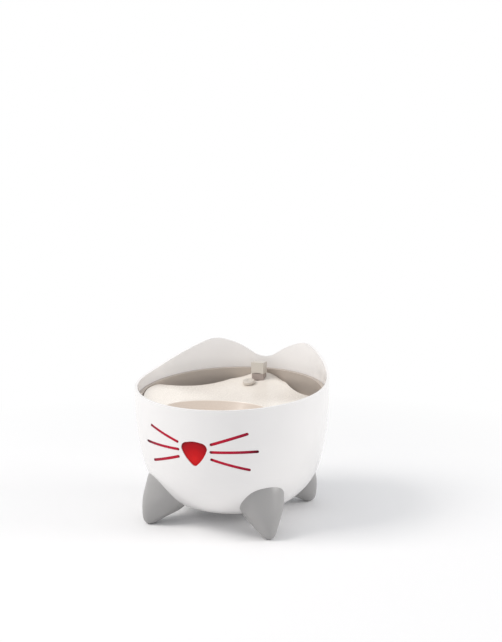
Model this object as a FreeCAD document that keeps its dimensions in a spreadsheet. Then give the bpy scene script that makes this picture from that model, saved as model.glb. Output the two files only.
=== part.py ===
import FreeCAD, Part
import math
import os
import re
import Sketcher
from FreeCAD import Placement, Rotation, Vector

# Pet water fountain: a round double-walled bowl on four feet.
# The outer shell carries the lights, a tank lifts out of it, and the drinking top rests in the tank.
# Millimetres. Origin on the ground under the bowl's axis, front towards -Y, +Z up.

doc = FreeCAD.newDocument("Fountain")
sizes = doc.addObject("Spreadsheet::Sheet", "Sizes")

# Driving dimensions: alias, value or formula, meaning
DIMENSIONS = [
    ("rim_radius", 123.5, "outer radius of the bowl's upright upper wall"),
    ("shell_wall", 3.4, "wall of the outer shell"),
    ("wide_height", 154.5, "height where the bowl's side begins to curve in"),
    ("side_arc", 324.0, "radius of the bowl's side in section"),
    ("corner_arc", 78.9, "radius of the bowl's bottom corner in section"),
    ("base_height", 13.2, "underside of the bowl above the ground"),
    ("rim_height", 172.1, "height of the rim plane on the axis"),
    ("rim_slope", 0.089, "rise of the rim plane per unit towards the back"),
    ("ear_height", 209.3, "height of the two ear peaks of the back wall"),
    ("ear_turn", 31.5, "direction of an ear peak from the back, in degrees"),
    ("fit_gap", 0.15, "gap round a piece seated in a cut-out"),
    ("seat_gap", 0.3, "gap between curved walls that lie together"),
    ("screw_gap", 0.1, "gap between a screw and its hole"),
    ("nose_half", 16.6, "half width of the nose opening"),
    ("nose_top", 122.8, "top of the nose opening"),
    ("nose_point", 91.9, "lowest point of the nose opening"),
    ("nose_corner", 8.0, "corner radius of the nose opening"),
    ("nose_tip", 4.4, "radius of the nose's lower point"),
    ("whisker_width", 3.6, "width of a whisker slot"),
    ("lens_recess", 1.0, "depth of the nose lens under the shell's surface"),
    ("bar_recess", 0.8, "depth of the whisker bars under the shell's surface"),
    ("carrier_wall", 2.0, "thickness of the whisker carrier"),
    ("carrier_half", 75.0, "half width of the whisker carrier"),
    ("carrier_low", 83.0, "lower edge of the whisker carrier"),
    ("carrier_high", 139.0, "upper edge of the whisker carrier"),
    ("flange_wall", 1.6, "thickness of the nose lens flange"),
    ("flange_margin", 2.0, "overlap of the lens flange round the nose opening"),
    ("board_wall", 1.6, "thickness of a circuit board"),
    ("led_board_face", "=rim_radius - 14.2", "distance of the lamp board's front face from the axis"),
    ("led_board_half", 25.5, "half width of the lamp board"),
    ("led_board_low", 100.0, "lower edge of the lamp board"),
    ("led_board_high", 124.0, "upper edge of the lamp board"),
    ("led_size", 3.5, "side of a lamp chip"),
    ("led_height", 1.2, "height of a lamp chip"),
    ("led_pitch", 9.0, "distance between lamp chips"),
    ("post_offset", 22.5, "sideways distance of a lamp board post"),
    ("post_size", 4.4, "side of a lamp board post"),
    ("post_reach", 4.6, "length of a lamp board post"),
    ("small_screw", 1.0, "shank radius of a small screw"),
    ("small_head", 2.0, "head radius of a small screw"),
    ("small_head_height", 1.2, "head height of a small screw"),
    ("foot_reach", "=rim_radius - 2.1", "outermost distance of a foot from the bowl's axis"),
    ("foot_top", 64.0, "height of a foot's uppermost section, inside the bowl's side"),
    ("foot_half", 31.5, "half width of a foot at its top"),
    ("foot_tip", "=rim_radius - 13.5", "distance of a foot's flat tip from the bowl's axis"),
    ("foot_screw_ring", "=rim_radius - 35.5", "distance of the foot screws from the bowl's axis"),
    ("foot_screw_radius", 1.5, "shank radius of a foot screw"),
    ("foot_head_radius", 3.0, "head radius of a foot screw"),
    ("foot_head_height", 2.2, "head height of a foot screw"),
    ("foot_boss_top", 41.5, "top of the screw boss inside the shell"),
    ("foot_boss_radius", 4.6, "radius of the screw boss inside the shell"),
    ("foot_screw_low", 20.0, "lower end of a foot screw"),
    ("stand_offset", 27.0, "sideways distance of the tank's standing pads"),
    ("stand_radius", 4.0, "radius of a standing pad"),
    ("tank_floor", 24.0, "underside of the tank above the ground"),
    ("tank_flat", 40.0, "radius of the tank's flat floor"),
    ("tank_corner", 55.0, "outer radius of the tank's bottom corner in section"),
    ("tank_wall", 2.2, "wall of the tank"),
    ("tank_draft", 12.0, "lean of the tank's side in degrees"),
    ("ledge_height", 140.0, "height of the ledge that carries the drinking top"),
    ("ledge_width", 8.0, "width of that ledge"),
    ("collar_wall", 3.0, "distance between the tank's collar and its lip edge"),
    ("tank_gap", 0.4, "gap between the tank's lip and the shell"),
    ("lip_drop", 13.7, "depth of the tank's lip under the rim plane"),
    ("lip_wall", 2.5, "thickness of the tank's lip"),
    ("top_gap", 1.5, "gap between the drinking top and the tank's collar"),
    ("top_wall", 3.0, "thickness of the drinking top"),
    ("skirt_wall", 3.0, "thickness of the drinking top's skirt"),
    ("skirt_inset", 0.6, "distance of the skirt from the top's edge"),
    ("pool_length", 136.0, "width of the drinking pool"),
    ("pool_width", 96.0, "front to back size of the drinking pool"),
    ("pool_offset", 49.0, "distance of the pool's centre in front of the axis"),
    ("pool_edge", 146.4, "height of the pool's edge"),
    ("pool_depth", 10.0, "depth of the pool"),
    ("pool_draft", 10.0, "inward run of the pool's wall"),
    ("pool_wall", 2.6, "wall of the pool"),
    ("side_rise", 11.0, "rise of the top from the pool to the sides"),
    ("side_turn", "=rim_radius - 57.5", "distance behind the axis where the side rise turns down"),
    ("hump_rise", 17.6, "rise of the hump at the back edge"),
    ("hump_power", 2.8, "steepness of the hump"),
    ("gap_angle", 48.0, "direction of the refill gaps from the back, in degrees"),
    ("gap_arc", 600.0, "radius of the refill gaps' curve"),
    ("gap_depth", 21.0, "depth of the refill gaps"),
    ("spout_centre", "=rim_radius - 25.5", "distance of the spout behind the axis"),
    ("post_width", 16.2, "width of the spout post"),
    ("post_depth", 12.8, "front to back size of the spout post"),
    ("post_top", 165.3, "top of the spout post"),
    ("post_foot", 147.0, "lower end of the spout post's square part"),
    ("cap_width", 17.6, "width of the spout cap"),
    ("cap_depth", 14.2, "front to back size of the spout cap"),
    ("cap_height", 15.1, "height of the spout cap"),
    ("cap_wall", 1.8, "wall of the spout cap"),
    ("spigot_width", 12.0, "width of the spigot under the cap"),
    ("spigot_depth", 9.0, "front to back size of that spigot"),
    ("spigot_height", 6.0, "height of that spigot"),
    ("outlet_width", 9.0, "width of the water slot in the cap"),
    ("outlet_height", 0.8, "height of the water slot at the cap's lower edge"),
    ("outlet_depth", 1.2, "depth of the water channel inside the cap"),
    ("stem_radius", 7.4, "outer radius of the stem under the spout post"),
    ("stem_low", 134.0, "lower end of that stem"),
    ("stem_shift", 1.2, "distance of that stem before the post's centre"),
    ("socket_wall", 2.0, "wall of the socket that holds the spout post"),
    ("water_bore", 2.8, "radius of the water way"),
    ("knob_x", 7.5, "distance of the flow knob left of the middle"),
    ("knob_y", "=rim_radius - 44.5", "distance of the flow knob behind the axis"),
    ("knob_radius", 8.2, "radius of the flow knob"),
    ("knob_height", 4.2, "height of the flow knob's head"),
    ("knob_lift", 1.0, "gap under the flow knob's head"),
    ("knob_stem", 3.2, "radius of the flow knob's stem"),
    ("knob_stem_length", 13.0, "length of the flow knob's stem"),
    ("knob_lean", 13.0, "forward lean of the flow knob, in degrees"),
    ("knob_dimple", 3.4, "radius of the dimple in the flow knob"),
    ("clip_radius", 5.2, "outer radius of the knob's retaining clip"),
    ("clip_wall", 1.0, "thickness of that clip"),
    ("hose_radius", 5.6, "outer radius of the riser hose"),
    ("hose_wall", 1.4, "wall of the riser hose"),
    ("nozzle_height", 8.0, "height of the pump's outlet nozzle"),
    ("hose_rise", 18.0, "first upright run of the riser hose"),
    ("hose_bend", 122.0, "height where the riser hose turns upright again"),
    ("hose_top", 143.0, "upper end of the riser hose"),
    ("pump_half", 19.0, "half width of the pump"),
    ("pump_low", 30.0, "underside of the pump"),
    ("pump_high", 58.0, "top of the pump"),
    ("pump_split", 26.0, "joint between pump body and pump cover behind the axis"),
    ("pump_back", 54.0, "back of the pump"),
    ("pump_front", 14.0, "front of the pump cover"),
    ("rotor_chamber", 9.0, "radius of the rotor chamber"),
    ("rotor_depth", 23.0, "depth of the rotor chamber"),
    ("rotor_radius", 8.2, "radius of the rotor magnet"),
    ("rotor_length", 20.0, "length of the rotor magnet"),
    ("shaft_radius", 1.5, "radius of the pump shaft"),
    ("running_gap", 0.08, "gap between the shaft and what turns on it"),
    ("shaft_seat", 3.0, "depth of the shaft's seat in the pump body"),
    ("impeller_radius", 12.0, "radius of the impeller"),
    ("impeller_width", 5.0, "width of the impeller"),
    ("impeller_hub", 4.0, "radius of the impeller's hub"),
    ("vane_wall", 1.4, "thickness of an impeller vane"),
    ("vane_gap", 0.8, "gap between the vanes and the pump body"),
    ("volute_radius", 13.2, "radius of the chamber in the pump cover"),
    ("volute_wall", 3.0, "front wall of the pump cover"),
    ("intake_radius", 6.5, "radius of the pump's intake"),
    ("intake_wall", 1.5, "wall of the intake nozzle"),
    ("spider_width", 2.4, "width of the bar that holds the shaft's front end"),
    ("bush_radius", 3.2, "outer radius of a shaft bush"),
    ("bush_width", 1.6, "width of a shaft bush"),
    ("cup_radius", 4.0, "radius of a suction cup"),
    ("cup_neck", 2.2, "neck radius of a suction cup"),
    ("cup_x", 11.4, "sideways distance of the suction cups"),
    ("cup_front", 24.0, "front row of suction cups behind the axis"),
    ("cup_back", 34.5, "back row of suction cups behind the axis"),
    ("pin_radius", 1.8, "radius of a contact pin"),
    ("pin_x", 4.0, "sideways distance of a contact pin"),
    ("pin_y", 33.5, "distance of the contact pins behind the axis"),
    ("seal_wall", 1.0, "wall of a contact seal"),
    ("seal_height", 1.4, "height of a contact seal"),
    ("dock_radius", 1.2, "radius of a spring contact"),
    ("dock_gap", 0.3, "gap between a spring contact and its pin"),
    ("case_half", 28.0, "half width of the filter case"),
    ("case_front", 28.0, "front of the filter case before the axis"),
    ("case_back", 10.0, "back of the filter case behind the axis"),
    ("case_high", 74.0, "top of the filter case"),
    ("case_wall", 2.0, "wall of the filter case"),
    ("slide_gap", 0.5, "gap between the filter case and its cartridge"),
    ("slot_width", 3.0, "width of a water slot in the filter case"),
    ("slot_pitch", 7.0, "distance between those slots"),
    ("slot_height", 34.0, "height of those slots"),
    ("pouch_depth", 14.0, "thickness of the carbon pouch"),
    ("foam_depth", 12.0, "thickness of the foam pad"),
    ("frame_wall", 1.6, "wall of the cartridge frame"),
    ("tab_height", 5.0, "height of the cartridge's pull tab"),
    ("tab_width", 18.0, "width of the cartridge's pull tab"),
    ("tab_wall", 2.4, "thickness of the cartridge's pull tab"),
    ("board_half", 20.0, "half width of the power board"),
    ("board_front", 30.0, "front edge of the power board before the axis"),
    ("board_back", 48.0, "back edge of the power board behind the axis"),
    ("board_lift", 2.8, "height of the power board over the shell's floor"),
    ("board_post", 2.4, "radius of a power board post"),
    ("board_inset", 4.5, "distance of the board screws from the board's edges"),
    ("inlet_height", 62.0, "height of the power inlet"),
    ("inlet_radius", 4.2, "outer radius of the power inlet's barrel"),
    ("inlet_bore", 2.8, "radius of the power inlet's socket"),
    ("inlet_end", "=rim_radius - 14.9", "distance of the inlet's mouth from the axis"),
    ("inlet_depth", 8.0, "depth of the inlet's socket"),
    ("inlet_back", "=rim_radius - 26.7", "inner face of the inlet's body"),
    ("inlet_face", "=rim_radius - 21.5", "outer face of the inlet's body"),
    ("inlet_half", 6.0, "half height of the inlet's body"),
    ("lead_radius", 1.2, "radius of an inner lead"),
]

for row, (alias, value, meaning) in enumerate(DIMENSIONS, start=1):
    sizes.set("A%d" % row, meaning)
    sizes.set("B%d" % row, str(value))
    sizes.setAlias("B%d" % row, alias)
doc.recompute()

ALIASES = re.compile(r"\b(" + "|".join(entry[0] for entry in DIMENSIONS) + r")\b")
nodes = {}


def bound(words):
    return ALIASES.sub(r"Sizes.\1", str(words))


def number(words):
    return float(sizes.evalExpression(bound(words)))


def tie(thing, links):
    for path, words in links.items():
        thing.setExpression(path, bound(words))


def node(thing, label):
    thing.Label = label
    nodes[label] = thing
    return thing


# Outlines: each step is (x, y) or (x, y, radius, side), where side +1 puts the arc's centre to the left
def draw(sketch, steps):
    places = [(number(step[0]), number(step[1])) for step in steps]
    for index, step in enumerate(steps):
        start = Vector(*places[index - 1], 0)
        end = Vector(*places[index], 0)
        if len(step) == 2:
            sketch.addGeometry(Part.LineSegment(start, end), False)
            continue
        chord = end - start
        radius = number(step[2])
        left = Vector(-chord.y, chord.x, 0).normalize()
        rise = math.sqrt(max(radius ** 2 - (chord.Length / 2) ** 2, 0.0))
        centre = (start + end) * 0.5 + left * (rise * step[3])
        first, last = (start, end) if step[3] > 0 else (end, start)
        angles = [math.atan2(place.y - centre.y, place.x - centre.x) for place in (first, last)]
        circle = Part.Circle(centre, Vector(0, 0, 1), radius)
        sketch.addGeometry(Part.ArcOfCircle(circle, angles[0], angles[1]), False)
    count = len(steps)
    for index, step in enumerate(steps):
        ends = end_points(sketch.Geometry[index], places[index])
        following = (index + 1) % count
        starts = 3 - end_points(sketch.Geometry[following], places[following])
        sketch.addConstraint(Sketcher.Constraint("Coincident", index, ends, following, starts))
        for kind, words in (("DistanceX", step[0]), ("DistanceY", step[1])):
            value = number(words)
            place = sketch.addConstraint(Sketcher.Constraint(kind, -1, 1, index, ends, value))
            sketch.setExpression("Constraints[%d]" % place, bound(words))
        if len(step) == 4:
            place = sketch.addConstraint(Sketcher.Constraint("Radius", index, number(step[2])))
            sketch.setExpression("Constraints[%d]" % place, bound(step[2]))


def end_points(curve, place):
    near_start = math.hypot(curve.StartPoint.x - place[0], curve.StartPoint.y - place[1])
    near_end = math.hypot(curve.EndPoint.x - place[0], curve.EndPoint.y - place[1])
    return 1 if near_start < near_end else 2


PLANES = {
    "XY": Rotation(),
    "XZ": Rotation(Vector(1, 0, 0), 90),
    "YZ": Rotation(Vector(1, 1, 1), 120),
}
NORMALS = {"XY": Vector(0, 0, 1), "XZ": Vector(0, 1, 0), "YZ": Vector(1, 0, 0)}


def outline(name, plane, steps):
    sketch = doc.addObject("Sketcher::SketchObject", name)
    sketch.Placement = Placement(Vector(), PLANES[plane])
    draw(sketch, steps)
    return sketch


def prism(name, plane, steps, low, high):
    body = doc.addObject("Part::Extrusion", name)
    body.Base = outline(name + "_outline", plane, steps)
    body.DirMode = "Custom"
    body.Dir = NORMALS[plane]
    body.Solid = True
    tie(body, {"LengthFwd": high, "LengthRev": "-(%s)" % low})
    return body


def revolve(name, steps, centre="0"):
    body = doc.addObject("Part::Revolution", name)
    body.Source = outline(name + "_outline", "XZ", steps)
    body.Axis = Vector(0, 0, 1)
    body.Angle = 360
    body.Solid = True
    tie(body, {"Base.x": centre})
    return body


def block(name, x, y, z, dx, dy, dz):
    body = doc.addObject("Part::Box", name)
    tie(body, {"Length": dx, "Width": dy, "Height": dz})
    tie(body, {"Placement.Base.x": x, "Placement.Base.y": y, "Placement.Base.z": z})
    return body


TURNS = {"Z": Rotation(), "Y": Rotation(Vector(1, 0, 0), -90)}


def rod(name, x, y, z, radius, length, axis="Z"):
    body = doc.addObject("Part::Cylinder", name)
    body.Placement = Placement(Vector(), TURNS[axis])
    tie(body, {"Radius": radius, "Height": length})
    tie(body, {"Placement.Base.x": x, "Placement.Base.y": y, "Placement.Base.z": z})
    return body


def cut(name, base, *tools):
    body = doc.addObject("Part::Cut", name)
    body.Base = base
    body.Tool = tools[0] if len(tools) == 1 else fuse(name + "_tools", *tools)
    return body


def fuse(name, *pieces):
    body = doc.addObject("Part::MultiFuse", name)
    body.Shapes = list(pieces)
    return body


def common(name, first, second):
    body = doc.addObject("Part::Common", name)
    body.Base = first
    body.Tool = second
    return body


def mirrored(name, source):
    body = doc.addObject("Part::Mirroring", name)
    body.Source = source
    body.Normal = Vector(1, 0, 0)
    return body


def together(name, *pieces):
    body = doc.addObject("Part::Compound", name)
    body.Links = list(pieces)
    return body


# Section of the bowl, moved inwards by an offset and closed on the axis
SIDE_X = "(rim_radius - side_arc)"
CORNER_Z = "(base_height + corner_arc)"
CORNER_X = ("(rim_radius - side_arc + sqrt((side_arc - corner_arc)^2"
            " - (wide_height - base_height - corner_arc)^2))")
BOWL_TOP = "(ear_height + 4)"


def bowl_section(inset):
    reach = "((side_arc - (%s)) / (side_arc - corner_arc))" % inset
    meet_x = "(%s + (%s - %s) * %s)" % (SIDE_X, CORNER_X, SIDE_X, reach)
    meet_z = "(wide_height + (%s - wide_height) * %s)" % (CORNER_Z, reach)
    return [
        ("0", "base_height + (%s)" % inset),
        (CORNER_X, "base_height + (%s)" % inset),
        (meet_x, meet_z, "corner_arc - (%s)" % inset, 1),
        ("rim_radius - (%s)" % inset, "wide_height", "side_arc - (%s)" % inset, 1),
        ("rim_radius - (%s)" % inset, BOWL_TOP),
        ("0", BOWL_TOP),
    ]


def side_band(name, outer, inner, low, high):
    def wall(inset, height):
        return "(%s + sqrt((side_arc - (%s))^2 - (%s - wide_height)^2))" % (SIDE_X, inset, height)
    return revolve(name, [
        (wall(outer, low), low),
        (wall(outer, high), high, "side_arc - (%s)" % outer, 1),
        (wall(inner, high), high),
        (wall(inner, low), low, "side_arc - (%s)" % inner, -1),
    ])


bowl_outside = revolve("bowl_outside", bowl_section("0"))
bowl_inside = revolve("bowl_inside", bowl_section("shell_wall"))
bowl_middle = revolve("bowl_middle", bowl_section("shell_wall / 2"))

# Space above the rim: a sloping plane that rises into two ears at the back
SLAB = "(rim_radius + 20)"


def above_plane(name, height):
    return prism(name, "YZ", [
        ("-%s" % SLAB, "%s - rim_slope * %s" % (height, SLAB)),
        (SLAB, "%s + rim_slope * %s" % (height, SLAB)),
        (SLAB, "ear_height + 60"),
        ("-%s" % SLAB, "ear_height + 60"),
    ], "-%s" % SLAB, SLAB)


# Angle from the back, and the share of the ear's rise that the rim has there above the sloping plane
EAR_SHARES = [
    (0.0, 0.06), (5.0, 0.13), (10.5, 0.37), (16.0, 0.615), (22.0, 0.81), (27.0, 0.935), (31.5, 1.0), (36.0, 0.985),
    (41.0, 0.89), (49.0, 0.685), (58.0, 0.47), (68.0, 0.255), (75.0, 0.14), (82.0, 0.06), (91.0, 0.02),
    (105.0, 0.0), (120.0, 0.0), (140.0, 0.0), (160.0, 0.0), (180.0, 0.0),
]


def rim_curve(radius):
    edge = number("rim_radius")
    rim = number("rim_height")
    slope = number("rim_slope")
    peak_plane = rim + slope * edge * math.cos(math.radians(number("ear_turn")))
    rise = number("ear_height") - peak_plane
    right = []
    for angle, share in EAR_SHARES:
        turn = math.radians(angle)
        height = rim + slope * edge * math.cos(turn) + share * rise
        right.append(Vector(radius * math.sin(turn), radius * math.cos(turn), height))
    left = [Vector(-point.x, point.y, point.z) for point in right[-2:0:-1]]
    curve = Part.BSplineCurve()
    curve.interpolate(Points=right + left, PeriodicFlag=True)
    return curve.toShape()


above_rim = doc.addObject("Part::Feature", "above_rim")
rim_surface = Part.makeRuledSurface(rim_curve(number("rim_radius") - 20), rim_curve(number("rim_radius") + 20))
above_rim.Shape = rim_surface.extrude(Vector(0, 0, number("ear_height") / 2))

# Whiskers and nose, drawn on the front and cut straight back
FRONT = "(rim_radius + 6)"
FACE_DEPTH = "40"
WHISKERS = {
    "upper": ((21.6, 120.4), (61.4, 133.6)),
    "middle": ((21.1, 111.0), (70.9, 111.4)),
    "lower": ((21.2, 101.8), (61.4, 88.9)),
}


def whisker_bars(tag, width):
    bars = []
    for name, ((x_in, z_in), (x_out, z_out)) in WHISKERS.items():
        length = math.hypot(x_out - x_in, z_out - z_in)
        lean = math.degrees(math.atan2(z_out - z_in, x_out - x_in))
        label = "%s_%s" % (tag, name)
        bar = doc.addObject("Part::Box", label + "_bar")
        across = Vector(math.sin(math.radians(lean)), 0, -math.cos(math.radians(lean)))
        bar.Placement = Placement(Vector(), Rotation(Vector(0, 1, 0), -lean))
        tie(bar, {"Length": length, "Width": FACE_DEPTH, "Height": width})
        tie(bar, {
            "Placement.Base.x": "%r + %r * (%s) / 2" % (x_in, across.x, width),
            "Placement.Base.y": "-" + FRONT,
            "Placement.Base.z": "%r + %r * (%s) / 2" % (z_in, across.z, width),
        })
        ends = [rod(label + "_end%d" % place, x, "-" + FRONT, z, "(%s) / 2" % width, FACE_DEPTH, "Y")
                for place, (x, z) in enumerate(((x_in, z_in), (x_out, z_out)))]
        bars.append(fuse(label, bar, *ends))
    right = fuse(tag + "_right", *bars)
    return fuse(tag, right, mirrored(tag + "_left", right))


def nose_prism(name, shrink):
    half = "(nose_half - (%s))" % shrink
    high = "(nose_top - (%s))" % shrink
    low = "(nose_point + (%s))" % shrink
    corner = "(nose_corner - (%s))" % shrink
    tip = "(nose_tip - (%s))" % shrink
    shoulder = "(%s - 1.2)" % high
    cheek = "(%s - 1.2 - %s)" % (high, corner)
    return prism(name, "XZ", [
        ("-%s" % half, cheek, corner, 1),
        ("-0.78 * %s" % tip, "%s + 0.42 * %s" % (low, tip), "45", 1),
        ("0.78 * %s" % tip, "%s + 0.42 * %s" % (low, tip), tip, 1),
        (half, cheek, "45", 1),
        ("%s - %s" % (half, corner), shoulder, corner, 1),
        ("-(%s - %s)" % (half, corner), shoulder, "30", 1),
    ], "-" + FRONT, "-" + FRONT + " + " + FACE_DEPTH)


face_slots = whisker_bars("face_slots", "whisker_width")
nose_hole = nose_prism("nose_hole", "0")

# Outer shell: one moulding, open at the top, with screw bosses, standing pads and posts inside
DIAGONALS = ((1, -1), (1, 1), (-1, 1), (-1, -1))
shell_floor = "(base_height + shell_wall)"
bosses = []
screw_holes = []
foot_screws = []
for index, (side, back) in enumerate(DIAGONALS):
    x = "%d * foot_screw_ring * cos(45deg)" % side
    y = "%d * foot_screw_ring * cos(45deg)" % back
    bosses.append(rod("boss%d" % index, x, y, "base_height", "foot_boss_radius", "foot_boss_top - base_height"))
    bosses.append(rod("stand%d" % index, "%d * stand_offset" % side, "%d * stand_offset" % back,
                      "base_height", "stand_radius", "tank_floor - base_height"))
    screw_holes.append(rod("screw_hole%d" % index, x, y, "0", "foot_screw_radius + screw_gap", "foot_boss_top + 1"))
    shank = rod("foot_shank%d" % index, x, y, "foot_screw_low", "foot_screw_radius",
                "foot_boss_top - foot_screw_low")
    head = rod("foot_head%d" % index, x, y, "foot_boss_top", "foot_head_radius", "foot_head_height")
    foot_screws.append(fuse("foot_screw%d" % index, shank, head))

BOARD_CORNERS = [("%d * (board_half - board_inset)" % side, depth)
                 for side in (-1, 1) for depth in ("-(board_front - board_inset)", "board_back - board_inset")]
post_holes = []
board_screws = []
for index, (x, y) in enumerate(BOARD_CORNERS):
    bosses.append(rod("board_post%d" % index, x, y, "base_height", "board_post",
                      "shell_wall + board_lift"))
    post_holes.append(rod("board_bore%d" % index, x, y, shell_floor, "small_screw + screw_gap", "board_lift + 5"))
    shank = rod("board_shank%d" % index, x, y, shell_floor, "small_screw", "board_lift + board_wall")
    head = rod("board_head%d" % index, x, y, "%s + board_lift + board_wall" % shell_floor, "small_head",
               "small_head_height")
    board_screws.append(fuse("board_screw%d" % index, shank, head))

inlet_hole = rod("inlet_hole", "0", "inlet_back", "inlet_height", "inlet_radius + fit_gap", "40", "Y")
shell_blank = cut("shell_blank", bowl_outside, bowl_inside)
shell_inner = common("shell_inner", fuse("shell_bosses", *bosses), bowl_middle)
shell_full = fuse("shell_full", shell_blank, shell_inner)
node(cut("outer_shell", shell_full, above_rim, face_slots, nose_hole, inlet_hole, *screw_holes, *post_holes),
     "outer_shell")
node(together("foot_screws", *foot_screws), "foot_screws")
node(together("board_screws", *board_screws), "board_screws")

# Feet: rounded cones that lean out under the bowl, hug its side and stand on a small flat tip
# Each level is height, outer reach, inner reach and half width
FOOT_LEVELS = [
    ("0", "foot_reach - 8", "foot_tip - 3.5", "0.105 * foot_half"),
    ("3", "foot_reach - 2.8", "foot_tip - 10", "0.215 * foot_half"),
    ("8", "foot_reach - 0.6", "foot_tip - 20", "0.345 * foot_half"),
    ("16", "foot_reach", "foot_tip - 39", "0.525 * foot_half"),
    ("26", "foot_reach - 0.4", "foot_tip - 50", "0.725 * foot_half"),
    ("37", "foot_reach - 2.4", "foot_tip - 56", "0.885 * foot_half"),
    ("50", "foot_reach - 6.4", "foot_tip - 59", "0.965 * foot_half"),
    ("foot_top", "foot_reach - 13.4", "foot_tip - 66", "foot_half"),
]
foot_rings = []
for height, outer, inner, half in FOOT_LEVELS:
    ring = doc.addObject("Part::Ellipse", "foot_ring%d" % len(foot_rings))
    tie(ring, {"MajorRadius": "(%s - (%s)) / 2" % (outer, inner), "MinorRadius": half})
    tie(ring, {"Placement.Base.x": "(%s + %s) / 2" % (outer, inner), "Placement.Base.z": height})
    foot_rings.append(ring)
foot_body = doc.addObject("Part::Loft", "foot_body")
foot_body.Sections = foot_rings
foot_body.Solid = True
foot_bore = rod("foot_bore", "foot_screw_ring", "0", "foot_screw_low - 1", "foot_screw_radius + screw_gap", "foot_top")
foot_blank = cut("foot_blank", foot_body, bowl_outside, foot_bore)
FEET = {"foot_front_right": -45, "foot_rear_right": 45, "foot_rear_left": 135, "foot_front_left": 225}
for label, angle in FEET.items():
    foot = together(label, foot_blank)
    foot.Placement = Placement(Vector(), Rotation(Vector(0, 0, 1), angle))
    node(foot, label)

# Lit face: a red carrier with six raised bars, and a red nose lens behind it
PLATE_OUT = "(shell_wall + seat_gap)"
PLATE_IN = "(%s + carrier_wall)" % PLATE_OUT
FLANGE_OUT = "(%s + 0.05)" % PLATE_IN
FLANGE_IN = "(%s + flange_wall)" % FLANGE_OUT
bar_band = side_band("bar_band", "bar_recess", "%s - carrier_wall / 2" % PLATE_IN, "carrier_low", "carrier_high")
plate_band = side_band("plate_band", PLATE_OUT, PLATE_IN, "carrier_low", "carrier_high")
bars = common("bars", bar_band, whisker_bars("bar_shapes", "whisker_width - 2 * fit_gap"))
plate_window = block("plate_window", "-carrier_half", "-" + FRONT, "carrier_low - 1", "2 * carrier_half", "80",
                     "carrier_high - carrier_low + 2")
plate = common("plate", plate_band, plate_window)
posts = []
post_bores = []
led_screws = []
LED_MIDDLE = "((led_board_low + led_board_high) / 2)"
for side in (-1, 1):
    x = "%d * post_offset" % side
    tag = "left" if side < 0 else "right"
    posts.append(block("post_" + tag, "%s - post_size / 2" % x, "-(led_board_face + post_reach)",
                       "%s - post_size / 2" % LED_MIDDLE, "post_size", "post_reach", "post_size"))
    post_bores.append(rod("post_bore_" + tag, x, "-(led_board_face + 0.8 * post_reach)", LED_MIDDLE,
                          "small_screw + screw_gap", "0.8 * post_reach + board_wall", "Y"))
    shank = rod("led_shank_" + tag, x, "-(led_board_face + 0.7 * post_reach)", LED_MIDDLE, "small_screw",
                "0.7 * post_reach + board_wall", "Y")
    head = rod("led_head_" + tag, x, "-(led_board_face - board_wall)", LED_MIDDLE, "small_head",
               "small_head_height", "Y")
    led_screws.append(fuse("led_screw_" + tag, shank, head))
node(cut("whisker_insert", fuse("insert_blank", bars, plate, *posts), nose_hole, *post_bores), "whisker_insert")
lens_band = side_band("lens_band", "lens_recess", FLANGE_IN, "nose_point - 4", "nose_top + 4")
flange_band = side_band("flange_band", FLANGE_OUT, FLANGE_IN, "nose_point - 4", "nose_top + 4")
flange_window = block("flange_window", "-(nose_half + flange_margin)", "-" + FRONT, "nose_point - flange_margin",
                      "2 * (nose_half + flange_margin)", "60", "nose_top - nose_point + 2 * flange_margin")
node(fuse("nose_lens", common("lens_plug", lens_band, nose_prism("lens_shape", "fit_gap")),
          common("lens_flange", flange_band, flange_window)), "nose_lens")

led_blank = block("led_blank", "-led_board_half", "-led_board_face", "led_board_low", "2 * led_board_half",
                  "board_wall", "led_board_high - led_board_low")
node(cut("led_board", led_blank, *post_bores), "led_board")
leds = []
for place in (-1, 0, 1):
    leds.append(block("led%d" % (place + 1), "%d * led_pitch - led_size / 2" % place, "-(led_board_face + led_height)",
                      "%s - led_size / 2" % LED_MIDDLE, "led_size", "led_height", "led_size"))
node(together("lamp_chips", *leds), "lamp_chips")
node(together("led_screws", *led_screws), "led_screws")

# Power board under the tank, its spring contacts, the inlet in the back wall and the two inner leads
board_z = "(%s + board_lift)" % shell_floor
power_body = doc.addObject("PartDesign::Body", "power_board")
flat = [part for part in power_body.Origin.OriginFeatures if part.Role == "XY_Plane"][0]
board_sketch = power_body.newObject("Sketcher::SketchObject", "board_outline")
board_sketch.AttachmentSupport = (flat, [""])
board_sketch.MapMode = "FlatFace"
board_sketch.setExpression("AttachmentOffset.Base.z", bound(board_z))
draw(board_sketch, [
    ("-board_half", "-board_front"),
    ("board_half", "-board_front"),
    ("board_half", "board_back"),
    ("-board_half", "board_back"),
])
board_pad = power_body.newObject("PartDesign::Pad", "board_pad")
board_pad.Profile = board_sketch
board_pad.setExpression("Length", bound("board_wall"))
doc.recompute()
hole_sketch = power_body.newObject("Sketcher::SketchObject", "board_holes")
hole_sketch.AttachmentSupport = (flat, [""])
hole_sketch.MapMode = "FlatFace"
hole_sketch.setExpression("AttachmentOffset.Base.z", bound(board_z + " + board_wall"))
for index, (x, y) in enumerate(BOARD_CORNERS):
    hole_sketch.addGeometry(Part.Circle(Vector(number(x), number(y), 0), Vector(0, 0, 1), number("small_screw")), False)
    for kind, words in (("DistanceX", x), ("DistanceY", y)):
        place = hole_sketch.addConstraint(Sketcher.Constraint(kind, -1, 1, index, 3, number(words)))
        hole_sketch.setExpression("Constraints[%d]" % place, bound(words))
    place = hole_sketch.addConstraint(Sketcher.Constraint("Radius", index, number("small_screw + screw_gap")))
    hole_sketch.setExpression("Constraints[%d]" % place, bound("small_screw + screw_gap"))
board_pocket = power_body.newObject("PartDesign::Pocket", "board_pocket")
board_pocket.Profile = hole_sketch
board_pocket.setExpression("Length", bound("board_wall"))
node(power_body, "power_board")

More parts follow.
